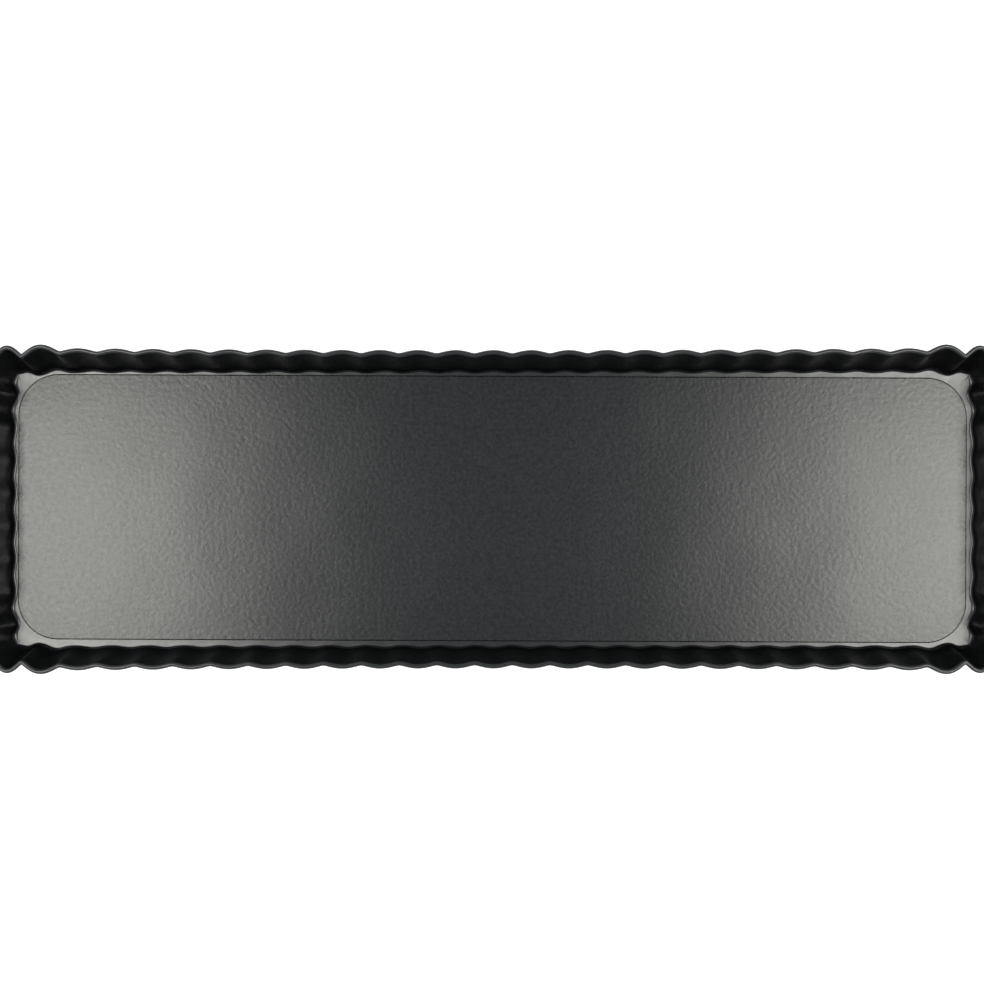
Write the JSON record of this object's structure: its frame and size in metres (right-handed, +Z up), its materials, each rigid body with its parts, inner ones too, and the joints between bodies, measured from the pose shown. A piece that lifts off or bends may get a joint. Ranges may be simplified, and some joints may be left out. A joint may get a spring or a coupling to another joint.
{
  "type": "tart pan",
  "caption": "Rectangular fluted tart tin with flared scalloped walls, a rolled rim, an inturned ledge and a flat loose base that lifts out.",
  "frame": {"origin": "middle of the tin on the surface it stands on, the underside of the ledge", "axes": "+X along the tin, +Y across it, +Z up out of its open top"},
  "size_m": [0.3524, 0.1122, 0.025],
  "materials": {
    "ring_coating": "semi-gloss dark non-stick coating on pressed steel sheet",
    "base_coating": "semi-gloss dark non-stick coating, finely mottled, on flat steel sheet"
  },
  "bodies": {
    "ring": {"fluted_ring": "ring_coating"},
    "base": {"loose_base": "base_coating"}
  },
  "joints": [
    {"name": "base_lift", "type": "slide", "parent": "ring", "child": "base", "axis": [0, 0, 1], "range_m": [0, 0.05]}
  ]
}
